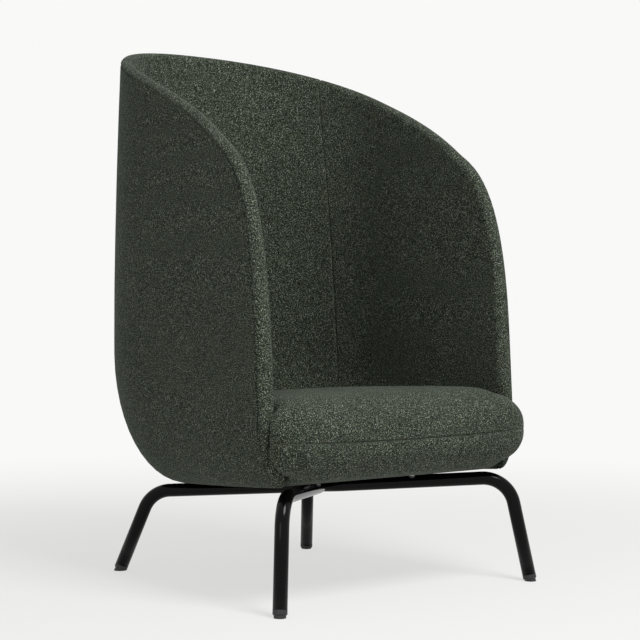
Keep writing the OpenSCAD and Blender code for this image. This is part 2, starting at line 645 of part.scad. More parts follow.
// A point of the arm plane in the chair's own frame
function from_underside(p) = [p.x, middle_y + p.y * cos(seat_tilt) + arm_level * sin(seat_tilt),
  underside_h - p.y * sin(seat_tilt) + arm_level * cos(seat_tilt)];
foot_front = [front_foot_x, front_foot_y, 0];
foot_rear = [rear_foot_x, rear_foot_y, 0];
knee_front = from_underside(front_knee);
knee_rear = from_underside(rear_knee);
middle_point = from_underside(apex);
tube_path = [foot_front + unit(knee_front - foot_front) * glide_h, knee_front, middle_point,
  knee_rear, foot_rear + unit(knee_rear - foot_rear) * glide_h];
bend_radii = [0, leg_bend_r, centre_bend_r, leg_bend_r, 0];

module frame_tube(side) {
  color(black_gloss) mirror([side < 0 ? 1 : 0, 0, 0]) union() {
    for (i = [0:3]) {
      from = tube_path[i];
      to = tube_path[i + 1];
      ahead = unit(to - from);
      cut_from = i == 0 ? 0 : bend_cut(unit(tube_path[i - 1] - from), ahead, bend_radii[i]);
      cut_to = i == 3 ? 0 : bend_cut(-ahead, unit(tube_path[i + 2] - to), bend_radii[i + 1]);
      tube_run(from + ahead * cut_from, to - ahead * cut_to, i == 0, i == 3);
    }
    for (i = [1:3])
      tube_bend(tube_path[i], unit(tube_path[i - 1] - tube_path[i]),
        unit(tube_path[i + 1] - tube_path[i]), bend_radii[i]);
  }
}
module frame_tube_left() { frame_tube(-1); }
module frame_tube_right() { frame_tube(1); }

// Gusset welded over the two bends where the tubes meet
centre_plate_w = 84;
centre_plate_l = 96;
module centre_plate() {
  color(black_gloss) on_underside() translate([-centre_plate_w / 2, -centre_plate_l / 2, plate_low])
    cube([centre_plate_w, centre_plate_l, frame_gap - 2 * hair]);
}

// Plastic glide with a plug in the tube, cut level with the floor
glide_plug_l = 20;
glide_plug_gap = 0.3;
glide_chamfer = 2.5;
glide_neck = 4.5;
module glide(foot, knee, side) {
  up = unit(knee - foot);
  x = unit(cross([0, 1, 0], up));
  color(plastic) mirror([side < 0 ? 1 : 0, 0, 0]) intersection() {
    place(foot, x, cross(up, x), up) rotate_extrude() polygon([[0, -tube_r], [tube_r - glide_chamfer, -tube_r],
      [tube_r - glide_chamfer, glide_neck], [tube_r, glide_neck + glide_chamfer], [tube_r, glide_h - hair],
      [tube_in - glide_plug_gap, glide_h - hair], [tube_in - glide_plug_gap, glide_h + glide_plug_l],
      [0, glide_h + glide_plug_l]]);
    translate([foot.x - glide_h * 4, foot.y - glide_h * 4, 0])
      cube([glide_h * 8, glide_h * 8, glide_h * 8]);
  }
}
module glide_front_left() { glide(foot_front, knee_front, -1); }
module glide_front_right() { glide(foot_front, knee_front, 1); }
module glide_rear_left() { glide(foot_rear, knee_rear, -1); }
module glide_rear_right() { glide(foot_rear, knee_rear, 1); }

// Bolts from below through the mounting plates into flanged nuts in the seat board
washer_t = 1.6;
washer_r = 7.2;
bolt_head_r = 6.4;
bolt_head_h = 4.4;
bolt_tip_set = 1;
thread_gap = 0.1;
nut_wall = 1.2;
nut_barrel_r = bolt_d / 2 + nut_wall;
nut_flange_r = 11;
nut_flange_t = 1.5;
nut_pocket = nut_flange_t + hair;
board_top = board_low + board_t;
socket_r = 2.9;
socket_d = 2.6;
module frame_bolts() {
  head_top = plate_low - washer_t - 2 * hair;
  color(black_gloss) at_bolts() difference() {
    union() {
      translate([0, 0, head_top - bolt_head_h]) cylinder(h = bolt_head_h, r = bolt_head_r);
      translate([0, 0, head_top]) cylinder(h = board_top - bolt_tip_set - head_top, r = bolt_d / 2);
    }
    translate([0, 0, head_top - bolt_head_h - hair]) cylinder(h = socket_d + hair, r = socket_r, $fn = 6);
  }
}
module lock_washers() {
  color(zinc) at_bolts() translate([0, 0, plate_low - washer_t - hair]) difference() {
    cylinder(h = washer_t, r = washer_r);
    translate([0, 0, -washer_t]) cylinder(h = 3 * washer_t, r = bolt_d / 2 + bolt_hole_gap);
  }
}
module t_nuts() {
  color(zinc) at_bolts() difference() {
    union() {
      translate([0, 0, board_low + nut_flange_t]) cylinder(h = board_t - 2 * nut_flange_t, r = nut_barrel_r);
      translate([0, 0, board_top - nut_flange_t]) cylinder(h = nut_flange_t, r = nut_flange_r);
    }
    translate([0, 0, board_low - hair]) cylinder(h = board_t + 2 * hair, r = bolt_d / 2 + thread_gap);
  }
}

// Clamp plates hold the core's flange down on the lip of the board
clamp_l = 44;
clamp_w = 26;
clamp_t = 2;
clamp_reach = 18;
clamp_screw_r = 2.2;
clamp_screw_l = 12;
clamp_head_r = 4;
clamp_head_h = 2.4;
clamp_first_angle = 38;
clamp_front_set = 180;
clamp_last_angle = plan_angle(front_y + clamp_front_set);
clamp_screw_shares = [0.62, 0.84];
module at_clamps() {
  for (side = [-1, 1], q = [0:clamps - 1]) let (
      a = mix(clamp_first_angle, clamp_last_angle, q / (clamps - 1)),
      out = plan_out(a),
      p = [plan_x(a), plan_y(a)] - out * (round_w(a) + flange_w))
    on_underside() mirror([side < 0 ? 1 : 0, 0, 0]) translate([p.x, down_slope(p.y), board_top + hair])
      rotate([0, 0, atan2(out.y, out.x) + 180]) children();
}
module clamp_plates() {
  color(zinc) at_clamps() difference() {
    translate([-clamp_reach, -clamp_w / 2, 0]) cube([clamp_l, clamp_w, clamp_t]);
    for (share = clamp_screw_shares, hand = [-1, 1])
      translate([share * clamp_l - clamp_reach, hand * clamp_w / 4, -clamp_t])
        cylinder(h = 3 * clamp_t, r = clamp_screw_r + hair);
  }
}
module at_clamp_screws() {
  at_clamps() for (share = clamp_screw_shares, hand = [-1, 1])
    translate([share * clamp_l - clamp_reach, hand * clamp_w / 4, 0]) children();
}
module clamp_screws() {
  color(zinc) at_clamp_screws() union() {
    translate([0, 0, clamp_t + hair]) cylinder(h = clamp_head_h, r = clamp_head_r);
    translate([0, 0, clamp_t - clamp_screw_l]) cylinder(h = clamp_screw_l + clamp_head_h / 2, r = clamp_screw_r);
  }
}

module seat_board() {
  color(plywood) difference() {
    on_underside() union() {
      translate([0, 0, board_low]) linear_extrude(board_t) ring_shape(flange_w + board_gap, board_gap / 4);
      translate([0, 0, board_low]) linear_extrude(lip_top - board_low) ring_shape(lip_gap, lip_front_gap);
    }
    at_bolts() translate([0, 0, board_low - hair]) cylinder(h = board_t + 2 * hair, r = nut_barrel_r + hair);
    at_bolts() translate([0, 0, board_top - nut_pocket]) cylinder(h = board_t, r = nut_flange_r + hair);
    at_clamp_screws() translate([0, 0, -clamp_screw_l]) cylinder(h = 2 * clamp_screw_l, r = clamp_screw_r + hair);
  }
}

// Thin black cloth that closes the underside, cut out round the mounting plates
dust_t = 1;
plate_slot_gap = 2;
module dust_cover() {
  color(black_cloth) difference() {
    on_underside() translate([0, 0, board_low - dust_t - hair]) linear_extrude(dust_t)
      ring_shape(flange_w + board_gap, board_gap / 4);
    for (side = [-1, 1], rear = [false, true])
      at_plate(side, rear) translate([0, 0, -plate_t]) linear_extrude(3 * plate_t) plate_outline(plate_slot_gap);
  }
}

// Foam sheet on the board, level with the floor of the bowl
module seat_base_foam() {
  low = core_inner + layer_gap;
  color(foam) difference() {
    on_underside() translate([0, 0, low]) linear_extrude(wall_t - low)
      ring_shape(flange_w + board_gap, board_gap / 4);
    at_clamps() translate([-clamp_reach - layer_gap, -clamp_w / 2 - board_gap, -board_gap])
      cube([clamp_l + board_gap, clamp_w + 2 * board_gap, clamp_t + clamp_head_h + 2 * board_gap]);
  }
}

frame_tube_left();
frame_tube_right();
centre_plate();
mounting_plate_front_left();
mounting_plate_front_right();
mounting_plate_rear_left();
mounting_plate_rear_right();
glide_front_left();
glide_front_right();
glide_rear_left();
glide_rear_right();
frame_bolts();
lock_washers();
t_nuts();
seat_board();
dust_cover();
clamp_plates();
clamp_screws();
shell_core();
outer_foam();
inner_foam();
outer_cover_left();
outer_cover_right();
inner_lining_left();
inner_lining_back();
inner_lining_right();
seat_base_foam();
cushion_foam();
cushion_cover_top();
cushion_cover_low();
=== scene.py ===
"""Lounge chair with a high acoustic shell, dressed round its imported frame.

Metres. +Z up, +Y to the back of the chair, +X to the right for someone who looks at its front.
"""
import functools
import math

import bmesh
import bpy
from mathutils import Matrix, Vector, noise


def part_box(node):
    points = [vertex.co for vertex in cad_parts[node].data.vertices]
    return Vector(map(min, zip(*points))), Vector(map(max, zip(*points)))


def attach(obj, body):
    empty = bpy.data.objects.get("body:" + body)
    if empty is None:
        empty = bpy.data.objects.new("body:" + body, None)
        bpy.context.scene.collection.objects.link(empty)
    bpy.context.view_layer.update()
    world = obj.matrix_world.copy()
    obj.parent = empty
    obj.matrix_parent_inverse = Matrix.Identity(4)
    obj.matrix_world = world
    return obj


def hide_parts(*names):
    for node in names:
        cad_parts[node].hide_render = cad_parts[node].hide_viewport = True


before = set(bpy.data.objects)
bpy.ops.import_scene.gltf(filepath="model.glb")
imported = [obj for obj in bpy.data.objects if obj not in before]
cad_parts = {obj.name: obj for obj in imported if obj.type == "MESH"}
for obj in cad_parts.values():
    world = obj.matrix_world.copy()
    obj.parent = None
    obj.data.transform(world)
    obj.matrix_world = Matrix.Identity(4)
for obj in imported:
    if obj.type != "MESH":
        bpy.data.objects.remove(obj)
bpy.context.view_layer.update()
MM = 0.001

# Shell sizes from the frame
HALF_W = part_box("outer_cover_right")[1].x
BACK_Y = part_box("outer_cover_right")[1].y
FRONT_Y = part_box("inner_lining_right")[0].y
TOP_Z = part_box("inner_lining_back")[1].z
CUSHION_FRONT_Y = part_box("cushion_cover_top")[0].y

# Plan of the shell
REAR_CURVE = 360 * MM
REAR_POWER = 2.3
CURVE_Y = BACK_Y - REAR_CURVE
SIDE_STEP = REAR_CURVE / 90
SHELL_D = BACK_Y - FRONT_Y

# Frame feet, and the middle of the frame on the underside
FRONT_FOOT = Vector((357 * MM, CUSHION_FRONT_Y + 16.7 * MM, 0))
REAR_FOOT = Vector((278.5 * MM, FRONT_FOOT.y + 698.6 * MM, 0))
MIDDLE_Y = FRONT_FOOT.y + 320 * MM

# Underside plane, which falls to the back
UNDER_H = 228.5 * MM
SEAT_TILT = math.radians(4.35)
SLOPE = math.tan(SEAT_TILT)

# Wall: thickness, lean at the top, and the rounding at the bottom
WALL_T = 40 * MM
WALL_TOP_T = 26 * MM
TAPER_Z = 560 * MM
LEAN = 16 * MM
LEAN_Z = 600 * MM
LEAN_POWER = 1.6
FRONT_ROUND = Vector((50, 140)) * MM
BACK_ROUND = Vector((185, 325)) * MM
FLANGE = 25 * MM
RIM_R = 15 * MM
RIM_ZONE = 70 * MM
LAYER_GAP = 0.3 * MM

# Layers of the wall, from the outside in
COVER_T = 3 * MM
OUTER_FOAM_T = 5 * MM
CORE_T = 10 * MM
CORE_OUTER = COVER_T + OUTER_FOAM_T + 2 * LAYER_GAP
CORE_INNER = CORE_OUTER + CORE_T
NOSE_D = 8 * MM
SEAM_LEVEL = 93 * MM
HALF_SEAM = 0.1 * MM

# Stations run from 0 at the middle of the back to the last at the foot of the front edge
STATIONS = 24
FOOT_CROWDING = 0.97
SIDE_SEAM = 7
ANGLE_PROBE = 0.5
TALL_SHARE = 0.8
FAN_POWER = 1.3


def mix(p, q, t):
    return p + (q - p) * t


def clamp(x, low, high):
    return min(max(x, low), high)


def under_z(y):
    """Height of the tilted underside at a place along the depth."""
    return UNDER_H - SLOPE * (y - MIDDLE_Y)


# Rim seen from the side, as two curves that meet at the shoulder
SHOULDER_ANGLE = math.radians(32.5)
SHOULDER = Vector((FRONT_Y + 158 * MM, 955 * MM))
SHOULDER_DIR = Vector((math.cos(SHOULDER_ANGLE), math.sin(SHOULDER_ANGLE)))
EDGE_FOOT = Vector((FRONT_Y, under_z(FRONT_Y)))
RIM_BACK = Vector((BACK_Y, TOP_Z))
EDGE_LEAN = math.tan(math.radians(6.3))
BACK_FALL = math.tan(math.radians(16.7))
FRONT_CURVE = (EDGE_FOOT, EDGE_FOOT + Vector((EDGE_LEAN, 1)) * 290 * MM,
               SHOULDER - SHOULDER_DIR * 180 * MM, SHOULDER)
BACK_CURVE = (SHOULDER, SHOULDER + SHOULDER_DIR * 75 * MM,
              RIM_BACK - Vector((1, BACK_FALL)) * 510 * MM, RIM_BACK)


def rim_at(t):
    """Place and direction of the rim, from 0 at its front foot to 1 at the back."""
    p = FRONT_CURVE if t < 0.5 else BACK_CURVE
    u = 2 * t if t < 0.5 else 2 * t - 1
    place = (1 - u) ** 3 * p[0] + 3 * (1 - u) ** 2 * u * p[1] + 3 * (1 - u) * u * u * p[2] + u ** 3 * p[3]
    way = (1 - u) ** 2 * (p[1] - p[0]) + 2 * (1 - u) * u * (p[2] - p[1]) + u * u * (p[3] - p[2])
    return place, way.normalized()


def plan(angle):
    """Outer face seen from above, and its outward direction.

    The angle is 0 at the middle of the back, and 90 where the straight side starts.
    """
    if angle >= 90:
        return Vector((HALF_W, CURVE_Y - (angle - 90) * SIDE_STEP)), Vector((1, 0))
    turn = math.radians(max(angle, 0))
    power = 2 / REAR_POWER
    out = Vector((HALF_W * math.sin(turn) ** power, REAR_CURVE * math.cos(turn) ** power))
    return out + Vector((0, CURVE_Y)), out.normalized()


def plan_angle(y):
    """Angle at which the outer face passes a place along the depth."""
    if y < CURVE_Y:
        return 90 + (CURVE_Y - y) / SIDE_STEP
    return math.degrees(math.acos(min((y - CURVE_Y) / REAR_CURVE, 1) ** (REAR_POWER / 2)))


def rounding(y):
    """Width and height of the bottom rounding, wider towards the back."""
    f = clamp((y - FRONT_Y) / SHELL_D, 0, 1)
    return mix(FRONT_ROUND, BACK_ROUND, f * f * (3 - 2 * f))


def round_run(size):
    """Run round the bottom rounding, as on a circle of its mean size."""
    return (size.x + size.y) * math.pi / 4


def wall_at(z):
    """Thickness of the wall at a height."""
    return mix(WALL_T, WALL_TOP_T, clamp((z - TAPER_Z) / (TOP_Z - TAPER_Z), 0, 1))


def run_at(y, height):
    """Run along the profile, from the flange's inner edge, to a height above the underside."""
    size = rounding(y)
    if height > size.y:
        return FLANGE + round_run(size) + height - size.y
    return FLANGE + round_run(size) * math.acos(1 - max(height, 0) / size.y) / (math.pi / 2)


def wall_point(angle, run, depth, inside):
    """A point of the wall, at a depth from its outer face, or behind its inner face."""
    place, out = plan(angle)
    size = rounding(place.y)
    turn = clamp((run - FLANGE) / round_run(size), 0, 1) * math.pi / 2
    rise = max(run - FLANGE - round_run(size), 0)
    base = under_z(place.y)
    if inside:
        depth = wall_at(base + size.y + rise) - depth
    z = base + size.y - (size.y - depth) * math.cos(turn) + rise
    up_share = max((z - LEAN_Z) / (TOP_Z - LEAN_Z), 0)
    inset = size.x - (size.x - depth) * math.sin(turn) + max(FLANGE - run, 0) + LEAN * up_share ** LEAN_POWER
    return Vector((place.x - out.x * inset, place.y - out.y * inset,
                   z + SLOPE * out.y * inset * (1 - math.sin(turn))))


FOOT_ANGLE = plan_angle(FRONT_Y + RIM_ZONE)


class Station:
    """One line up the wall, square to the rim where it ends."""

    def __init__(self, k):
        x = abs(k) / STATIONS
        share = x + FOOT_CROWDING * x * x * (1 - x)
        place, way = rim_at(1 - share ** REAR_POWER)
        self.side = -1 if k < 0 else 1
        self.angle = plan_angle(place.x)
        self.z = place.y
        here, ahead = plan(self.angle)[0], plan(self.angle + ANGLE_PROBE)[0]
        step = (ahead - here).length
        self.step = step / ANGLE_PROBE
        self.way = Vector((way.x * step, way.y * abs(ahead.y - here.y))).normalized()
        self.roll = min(RIM_R, (wall_at(self.z) - LAYER_GAP) / 2)
        self.foot = FOOT_ANGLE * share ** FAN_POWER
        self.top = self.under_rim(RIM_ZONE)
        turn_end = FLANGE + round_run(rounding(plan(self.top[0])[0].y))
        self.bowl_start = min(1, TALL_SHARE * self.top[1] / turn_end) * FLANGE / self.top[1]

    def under_rim(self, e):
        """Angle and run of a place e under the rim."""
        angle = self.angle - e * self.way.y / self.step
        y = plan(angle)[0].y
        return angle, run_at(y, self.z - e * self.way.x - under_z(y))

    def point(self, zone, value, inside, cut):
        """A point of one layer, cut in from the face it is measured from.

        The zones are fan and bowl up the wall, edge and past under the rim, and roll over it.
        """
        if zone in ("fan", "bowl"):
            share = value if zone == "fan" else mix(self.bowl_start, 1, value)
            p = wall_point(mix(self.foot, self.top[0], share), share * self.top[1], cut, inside)
        elif zone == "edge":
            p = wall_point(*self.under_rim(mix(RIM_ZONE, self.roll, value)), cut, inside)
        elif zone == "past":
            p = wall_point(*self.under_rim(self.roll + value), cut, inside)
        else:
            turn = math.radians(value)
            rho = max(self.roll - cut, 0)
            depth = self.roll - rho * abs(math.cos(turn))
            p = wall_point(*self.under_rim(self.roll - rho * math.sin(turn)), depth, value <= 90)
        return Vector((self.side * p.x, p.y, p.z))


# ---------------------------------------------------------------- colours and materials

def paint(hex_code):
    """Linear colour of the sRGB colour that the eye sees."""
    channels = [int(hex_code[i:i + 2], 16) / 255 for i in (1, 3, 5)]
    return (*(c / 12.92 if c <= 0.04045 else ((c + 0.055) / 1.055) ** 2.4 for c in channels), 1)


def add_node(tree, kind, sockets=(), **settings):
    """Adds a node. sockets holds (input, value or output) pairs."""
    node = tree.nodes.new(kind)
    for key, value in settings.items():
        setattr(node, key, value)
    for key, value in sockets:
        if isinstance(value, bpy.types.NodeSocket):
            tree.links.new(value, node.inputs[key])
        else:
            node.inputs[key].default_value = value
    return node


def new_material(name, **values):
    """A plain material with the given shader values."""
    material = bpy.data.materials.new(name)
    material.use_nodes = True
    shader = material.node_tree.nodes["Principled BSDF"]
    for key, value in values.items():
        shader.inputs[key.replace("_", " ")].default_value = value
    return material, material.node_tree, shader


def grain(tree, size, detail=2.0, roughness=0.5, place=0.0):
    """Noise with grains of about this size, read from the object's own place."""
    where = add_node(tree, "ShaderNodeTexCoord").outputs["Object"]
    moved = add_node(tree, "ShaderNodeMapping", [("Vector", where), ("Location", (place, place, place))])
    return add_node(tree, "ShaderNodeTexNoise", [("Vector", moved.outputs[0]), ("Scale", 1 / size),
                                                 ("Detail", detail), ("Roughness", roughness)]).outputs["Fac"]


def steps(tree, factor, stops):
    """Colours along a factor, as (place, colour) stops."""
    ramp = add_node(tree, "ShaderNodeValToRGB", [("Fac", factor)])
    for i, (place, colour) in enumerate(stops):
        stop = ramp.color_ramp.elements[i] if i < 2 else ramp.color_ramp.elements.new(place)
        stop.position = place
        stop.color = colour
    return ramp.outputs["Color"]


def blend(tree, factor, first, second, kind="MIX"):
    """Mixes two colours by a factor, each a value or another node's output."""
    node = add_node(tree, "ShaderNodeMix", data_type="RGBA", blend_type=kind)
    for socket, value in zip((node.inputs[0], node.inputs[6], node.inputs[7]), (factor, first, second)):
        if isinstance(value, bpy.types.NodeSocket):
            tree.links.new(value, socket)
        else:
            socket.default_value = value
    return node.outputs[2]


def background_rays(tree):
    """1 for the rays that see the background as it looks: from the camera, off gloss and through glass."""
    rays = add_node(tree, "ShaderNodeLightPath").outputs
    gloss = add_node(tree, "ShaderNodeMath", [(0, rays["Is Camera Ray"]), (1, rays["Is Glossy Ray"])],
                     operation="MAXIMUM")
    return add_node(tree, "ShaderNodeMath", [(0, gloss.outputs[0]), (1, rays["Is Transmission Ray"])],
                    operation="MAXIMUM").outputs[0]


WHITE, BLACK = (1, 1, 1, 1), (0, 0, 0, 1)
BACKGROUND = paint("#f9f9f8")


def wool_felt():
    """Felted wool in a mixed bottle green with lighter, teal and olive fibres."""
    material, tree, shader = new_material("green_wool_felt", Roughness=0.95, Sheen_Weight=0.18,
                                          Sheen_Roughness=0.5, Sheen_Tint=paint("#8d9a90"))
    shader.inputs["Specular IOR Level"].default_value = 0.2
    # Fibre clumps are about 1 mm in the real cloth, drawn 2 mm wide so that they show
    mixed = steps(tree, grain(tree, 2.0 * MM, 2, 0.6), [
        (0.40, paint("#0b0e09")), (0.50, paint("#22271e")), (0.57, paint("#4a5144")),
        (0.65, paint("#a9b0a2"))])
    teal = steps(tree, grain(tree, 2.4 * MM, 2, 0.6, 3.1), [(0.58, BLACK), (0.64, WHITE)])
    olive = steps(tree, grain(tree, 2.2 * MM, 2, 0.6, 7.7), [(0.59, BLACK), (0.65, WHITE)])
    colour = blend(tree, teal, mixed, paint("#1d3b37"))
    colour = blend(tree, olive, colour, paint("#4c4f2b"))
    # Uneven mixing of the fibres, in patches as wide as a finger nail, and of the dye, as wide as a hand
    for patch, low in ((9 * MM, 0.75), (90 * MM, 0.9)):
        colour = blend(tree, 1.0, colour, steps(tree, grain(tree, patch, 2, 0.5, 1.3), [
            (0.3, (low, low, low, 1)), (0.7, WHITE)]), "MULTIPLY")
    tree.links.new(colour, shader.inputs["Base Color"])
    fuzz = add_node(tree, "ShaderNodeBump", [("Height", grain(tree, 1.8 * MM, 5, 0.8, 5.5)),
                                             ("Strength", 0.55), ("Distance", 0.7 * MM)])
    lumps = add_node(tree, "ShaderNodeBump", [("Height", grain(tree, 9 * MM, 3, 0.6, 2.2)),
                                              ("Strength", 0.25), ("Distance", 0.8 * MM),
                                              ("Normal", fuzz.outputs[0])])
    tree.links.new(lumps.outputs[0], shader.inputs["Normal"])
    return material


def lacquer():
    """Black gloss powder coat with a faint orange peel."""
    material, tree, shader = new_material("black_lacquer", Base_Color=paint("#050505"), Roughness=0.16)
    shader.inputs["Specular IOR Level"].default_value = 0.12
    peel = add_node(tree, "ShaderNodeBump", [("Height", grain(tree, 4 * MM, 2)), ("Strength", 0.06),
                                             ("Distance", 0.2 * MM)])
    tree.links.new(peel.outputs[0], shader.inputs["Normal"])
    return material


def grained(name, colour_low, colour_high, size, roughness, bump=0.2, metallic=0.0):
    """A plain material with a fine two-colour grain and a little relief."""
    material, tree, shader = new_material(name, Roughness=roughness, Metallic=metallic)
    height = grain(tree, size, 4, 0.65)
    tree.links.new(steps(tree, height, [(0.35, paint(colour_low)), (0.65, paint(colour_high))]),
                   shader.inputs["Base Color"])
    relief = add_node(tree, "ShaderNodeBump", [("Height", height), ("Strength", bump),
                                               ("Distance", size / 4)])
    tree.links.new(relief.outputs[0], shader.inputs["Normal"])
    return material


def plywood():
    """Birch plywood with its grain along the depth of the seat."""
    material, tree, shader = new_material("plywood", Roughness=0.6)
    where = add_node(tree, "ShaderNodeTexCoord").outputs["Object"]
    drawn = add_node(tree, "ShaderNodeMapping", [("Vector", where), ("Scale", (1, 0.06, 1))])
    fibre = add_node(tree, "ShaderNodeTexNoise", [("Vector", drawn.outputs[0]), ("Scale", 1 / (6 * MM)),
                                                  ("Detail", 4.0)]).outputs["Fac"]
    tree.links.new(steps(tree, fibre, [(0.3, paint("#b98f5c")), (0.7, paint("#dcbd8c"))]),
                   shader.inputs["Base Color"])
    return material


FELT = wool_felt()
LACQUER = lacquer()
FOAM = grained("cut_foam", "#c8bd93", "#e3dab6", 1.5 * MM, 0.9, 0.5)
GLIDE = grained("glide_plastic", "#1b1b1c", "#232325", 1.2 * MM, 0.55, 0.1)
STEEL = grained("black_steel", "#121213", "#1d1d1e", 0.8 * MM, 0.4, 0.1)
ZINC = grained("zinc_steel", "#a5a8ac", "#c3c5c8", 3 * MM, 0.35, 0.05, 1.0)
LINING_CLOTH = grained("black_lining_cloth", "#131314", "#222224", 1.0 * MM, 0.9, 0.4)
PLYWOOD = plywood()


# ---------------------------------------------------------------- making pieces

def new_piece(name, bm, material, slot, *nodes):
    """Turns a bmesh into a piece that rides on the chair and stands for CAD nodes."""
    for face in bm.faces:
        face.smooth = True
    mesh = bpy.data.meshes.new(name)
    bm.to_mesh(mesh)
    bm.free()
    mesh.materials.append(material)
    piece = bpy.data.objects.new(name, mesh)
    bpy.context.scene.collection.objects.link(piece)
    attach(piece, "root")
    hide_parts(*nodes)
    return piece


def settle(piece):
    """Applies the modifiers to the mesh."""
    made = bpy.data.meshes.new_from_object(piece.evaluated_get(bpy.context.evaluated_depsgraph_get()))
    piece.modifiers.clear()
    old, piece.data = piece.data, made
    bpy.data.meshes.remove(old)


def thicken(piece, thickness):
    """Gives a skin its thickness, away from the side that shows."""
    wall = piece.modifiers.new("thickness", "SOLIDIFY")
    wall.thickness = thickness
    wall.offset = -1


# Cloth edges pulled in and under at the seams
FOLD_W = 4.5 * MM
FOLD_D = 2.7 * MM
FOLD_STOPS = [FOLD_W * share for share in (0, 0.08, 0.22, 0.45, 0.7, 1)]


def fold_sink(distance):
    """How deep a cloth edge lies at a distance from its seam."""
    return FOLD_D * max(1 - distance / FOLD_W, 0) ** 2


def folded(k, inward):
    """Columns of a folded edge at station k, as (station, shift in metres, sink)."""
    return [(k, inward * (HALF_SEAM + d), fold_sink(d)) for d in FOLD_STOPS]


# Depths at which the wall is closed under its front foot, from the lining out to the cover
FOOT_CUTS = [depth * MM for depth in (0, 1, 4, 10, 20, 30)] + [WALL_T - COVER_T - LAYER_GAP]


def turned_under(k):
    """Columns that close the wall under its front foot."""
    return [(k, 0, cut) for cut in FOOT_CUTS]


# Spacing of a panel's columns in stations, finer over the last few at the front feet
QUARTER = 0.25
EIGHTH = 0.125
FINE_STATIONS = 4
LAST_CLEAR = 0.1


def station_line(start, end, head=None, tail=None):
    """Columns of a panel. head and tail stand in for its first and last one."""
    head = head or [(start, 0, 0)]
    tail = tail or [(end, 0, 0)]
    line = []
    k = start
    while True:
        k += EIGHTH if abs(k) > STATIONS - FINE_STATIONS else QUARTER
        if k > end - LAST_CLEAR:
            break
        line.append((k, 0, 0))
    return head + line + tail


# Rows of a sheet up the wall, in the rim's zone, round the rim and on the foam's nose
CLOTH_ROWS = 34
FILLING_ROWS = 24
EDGE_ROWS = 8
RIM_ROWS = 18
NOSE_ROWS = 5

# Where the layers end: shares of the rim's zone, and degrees round the rim
COVER_LAST = 0.9
SHEET_LAST = 0.85
FOAM_LAST = 0.8
LINING_TURN = 160.0


def spread(start, end, count):
    """Evenly spaced values from start to end, both included."""
    return [mix(start, end, i / count) for i in range(count + 1)]


def up_wall(zone, count, inside, cut, last=1.0):
    """Stops of one layer up the wall, and on to the rim's zone."""
    return [(zone, v, inside, cut) for v in spread(0, 1, count)] + [
        ("edge", v, inside, cut) for v in spread(0, last, EDGE_ROWS)[1:]]


def round_rim(cut, last=180.0):
    """Stops over the rim, up to a turn in degrees."""
    return [("roll", turn, True, cut) for turn in spread(0, last, RIM_ROWS)[1:]]


LINING_STOPS = (up_wall("bowl", CLOTH_ROWS, True, 0) + round_rim(0, LINING_TURN)
                + [("roll", 180 - math.degrees(d / RIM_R), False, fold_sink(d)) for d in FOLD_STOPS[::-1]])
COVER_STOPS = (up_wall("fan", CLOTH_ROWS, False, 0, COVER_LAST)
               + [("past", LAYER_GAP + d, False, fold_sink(d)) for d in FOLD_STOPS[::-1]])
NOSE_E = NOSE_D - LAYER_GAP
LINING_BACK = COVER_T + LAYER_GAP
FOAM_FACE = CORE_INNER + LAYER_GAP
INNER_FOAM_STOPS = (
    up_wall("bowl", FILLING_ROWS, True, LINING_BACK) + round_rim(LINING_BACK)
    + [("past", NOSE_E, False, cut) for cut in spread(LINING_BACK, FOAM_FACE, NOSE_ROWS)]
    + up_wall("bowl", FILLING_ROWS, False, FOAM_FACE, FOAM_LAST)[::-1])

# Slack of the cloth over the foam
SLACK = 0.6 * MM
SLACK_PERIOD = 140 * MM
SHIFT_PROBE = 0.1

# The seams beside the back panel lean, by these stations at the seat, at the wall's end and at the rim
LEAN_LOW, LEAN_HIGH, LEAN_RIM = 2.5, -1.0, -1.3

# Points of a sheet closer than this are one
MERGE = 0.01 * MM


@functools.cache
def station(k):
    """The line up the wall at k, worked out once."""
    return Station(k)


def sheet_point(k, *place):
    """A point of a sheet at any station, between the nearest quarter stations."""
    low = math.floor(k / QUARTER) * QUARTER
    high = min(low + QUARTER, STATIONS)
    return mix(station(low).point(*place), station(high).point(*place), (k - low) / QUARTER)


def seam_lean(k, zone, value):
    """How far a column of the lining leans at a stop: fully at the seam, and less away from it."""
    share = abs(k) / SIDE_SEAM if abs(k) < SIDE_SEAM else (STATIONS - abs(k)) / (STATIONS - SIDE_SEAM)
    leans = {"bowl": mix(LEAN_LOW, LEAN_HIGH, value), "edge": mix(LEAN_HIGH, LEAN_RIM, value)}
    way = leans.get(zone, LEAN_RIM)
    return math.copysign(way * share, k) if way > 0 else -math.copysign(way * share, k)


